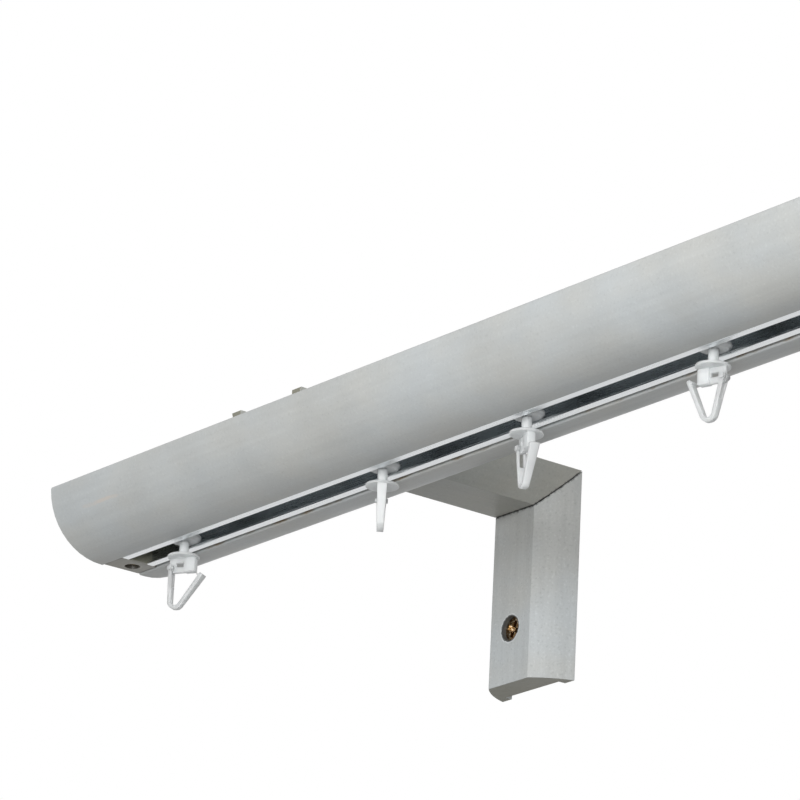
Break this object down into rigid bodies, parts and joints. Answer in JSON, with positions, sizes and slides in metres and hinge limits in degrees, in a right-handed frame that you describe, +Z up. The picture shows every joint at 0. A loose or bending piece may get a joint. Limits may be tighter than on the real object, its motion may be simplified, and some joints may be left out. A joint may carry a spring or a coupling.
{
  "type": "curtain track",
  "caption": "Wall-mounted inner-run curtain track: half-round bar with a C-track in its underside, mitred L brackets, end plugs and sliding gliders with swinging V hooks.",
  "frame": {"origin": "on the wall plane, midway between the two brackets, level with their wall screws", "axes": "+X along the track, to the right seen from the room; +Y into the wall; +Z up"},
  "size_m": [0.6, 0.1416, 0.069],
  "materials": {
    "rail_lacquer": "silver-grey satin lacquer over fine-grained wood",
    "bracket_lacquer": "silver-grey satin lacquer, grain showing through",
    "plug_lacquer": "silver-grey satin lacquer",
    "track_metal": "bright drawn aluminium",
    "brass_screw_metal": "plain brass",
    "small_screw_metal": "zinc plated",
    "glider_plastic": "milky white moulded plastic"
  },
  "bodies": {
    "rail": {"rail_moulding": "rail_lacquer", "track_channel": "track_metal", "track_screws": "small_screw_metal", "end_plug_left": "plug_lacquer", "end_plug_right": "plug_lacquer", "plug_screw_left": "brass_screw_metal", "plug_screw_right": "brass_screw_metal", "bracket_arm_left": "bracket_lacquer", "bracket_arm_right": "bracket_lacquer", "bracket_leg_left": "bracket_lacquer", "bracket_leg_right": "bracket_lacquer", "wall_screw_left": "brass_screw_metal", "wall_screw_right": "brass_screw_metal", "rail_screws_left": "brass_screw_metal", "rail_screws_right": "brass_screw_metal"},
    "glider_1_head": {"glider_head_1": "glider_plastic"},
    "glider_1_eyelet": {"glider_eyelet_1": "glider_plastic"},
    "glider_1_hook": {"glider_hook_1": "glider_plastic"},
    "glider_2_head": {"glider_head_2": "glider_plastic"},
    "glider_2_eyelet": {"glider_eyelet_2": "glider_plastic"},
    "glider_2_hook": {"glider_hook_2": "glider_plastic"},
    "glider_3_head": {"glider_head_3": "glider_plastic"},
    "glider_3_eyelet": {"glider_eyelet_3": "glider_plastic"},
    "glider_3_hook": {"glider_hook_3": "glider_plastic"},
    "glider_4_head": {"glider_head_4": "glider_plastic"},
    "glider_4_eyelet": {"glider_eyelet_4": "glider_plastic"},
    "glider_4_hook": {"glider_hook_4": "glider_plastic"},
    "glider_5_head": {"glider_head_5": "glider_plastic"},
    "glider_5_eyelet": {"glider_eyelet_5": "glider_plastic"},
    "glider_5_hook": {"glider_hook_5": "glider_plastic"},
    "glider_6_head": {"glider_head_6": "glider_plastic"},
    "glider_6_eyelet": {"glider_eyelet_6": "glider_plastic"},
    "glider_6_hook": {"glider_hook_6": "glider_plastic"},
    "glider_7_head": {"glider_head_7": "glider_plastic"},
    "glider_7_eyelet": {"glider_eyelet_7": "glider_plastic"},
    "glider_7_hook": {"glider_hook_7": "glider_plastic"}
  },
  "joints": [
    {"name": "glider_1_slide", "type": "slide", "parent": "rail", "child": "glider_1_head", "axis": [1, 0, 0], "range_m": [-0.019, 0.039]},
    {"name": "glider_1_swivel", "type": "hinge", "parent": "glider_1_head", "child": "glider_1_eyelet", "pos_m": [-0.2648, -0.10245, 0.01875], "axis": [0, 0, 1], "continuous": true},
    {"name": "glider_1_hook_swing", "type": "hinge", "parent": "glider_1_eyelet", "child": "glider_1_hook", "pos_m": [-0.26809, -0.10435, 0.0104], "axis": [0.5, -0.866, 0], "range_deg": [-21.5, 28.5]},
    {"name": "glider_2_slide", "type": "slide", "parent": "rail", "child": "glider_2_head", "axis": [1, 0, 0], "range_m": [-0.039, 0.022]},
    {"name": "glider_2_swivel", "type": "hinge", "parent": "glider_2_head", "child": "glider_2_eyelet", "pos_m": [-0.1636, -0.10245, 0.01875], "axis": [0, 0, 1], "continuous": true},
    {"name": "glider_2_hook_swing", "type": "hinge", "parent": "glider_2_eyelet", "child": "glider_2_hook", "pos_m": [-0.16664, -0.10016, 0.0104], "axis": [-0.6018, -0.7986, 0], "range_deg": [-46, 4]},
    {"name": "glider_3_slide", "type": "slide", "parent": "rail", "child": "glider_3_head", "axis": [1, 0, 0], "range_m": [-0.022, 0.029]},
    {"name": "glider_3_swivel", "type": "hinge", "parent": "glider_3_head", "child": "glider_3_eyelet", "pos_m": [-0.0957, -0.10245, 0.01875], "axis": [0, 0, 1], "continuous": true},
    {"name": "glider_3_hook_swing", "type": "hinge", "parent": "glider_3_eyelet", "child": "glider_3_hook", "pos_m": [-0.09931, -0.10128, 0.0104], "axis": [-0.309, -0.9511, 0], "range_deg": [-29, 21]},
    {"name": "glider_4_slide", "type": "slide", "parent": "rail", "child": "glider_4_head", "axis": [1, 0, 0], "range_m": [-0.029, 0.03]},
    {"name": "glider_4_swivel", "type": "hinge", "parent": "glider_4_head", "child": "glider_4_eyelet", "pos_m": [-0.014, -0.10245, 0.01875], "axis": [0, 0, 1], "continuous": true},
    {"name": "glider_4_hook_swing", "type": "hinge", "parent": "glider_4_eyelet", "child": "glider_4_hook", "pos_m": [-0.01037, -0.10134, 0.0104], "axis": [-0.2924, 0.9563, 0], "range_deg": [-35.5, 14.5]},
    {"name": "glider_5_slide", "type": "slide", "parent": "rail", "child": "glider_5_head", "axis": [1, 0, 0], "range_m": [-0.03, 0.03]},
    {"name": "glider_5_swivel", "type": "hinge", "parent": "glider_5_head", "child": "glider_5_eyelet", "pos_m": [0.069, -0.10245, 0.01875], "axis": [0, 0, 1], "continuous": true},
    {"name": "glider_5_hook_swing", "type": "hinge", "parent": "glider_5_eyelet", "child": "glider_5_hook", "pos_m": [0.07191, -0.10001, 0.0104], "axis": [-0.6428, 0.766, 0], "range_deg": [-23, 27]},
    {"name": "glider_6_slide", "type": "slide", "parent": "rail", "child": "glider_6_head", "axis": [1, 0, 0], "range_m": [-0.03, 0.0305]},
    {"name": "glider_6_swivel", "type": "hinge", "parent": "glider_6_head", "child": "glider_6_eyelet", "pos_m": [0.152, -0.10245, 0.01875], "axis": [0, 0, 1], "continuous": true},
    {"name": "glider_6_hook_swing", "type": "hinge", "parent": "glider_6_eyelet", "child": "glider_6_hook", "pos_m": [0.14856, -0.10406, 0.0104], "axis": [0.4226, -0.9063, 0], "range_deg": [-31, 19]},
    {"name": "glider_7_slide", "type": "slide", "parent": "rail", "child": "glider_7_head", "axis": [1, 0, 0], "range_m": [-0.0305, 0.048]},
    {"name": "glider_7_swivel", "type": "hinge", "parent": "glider_7_head", "child": "glider_7_eyelet", "pos_m": [0.236, -0.10245, 0.01875], "axis": [0, 0, 1], "continuous": true},
    {"name": "glider_7_hook_swing", "type": "hinge", "parent": "glider_7_eyelet", "child": "glider_7_hook", "pos_m": [0.2379, -0.10574, 0.0104], "axis": [0.866, 0.5, 0], "range_deg": [-40, 10]}
  ]
}
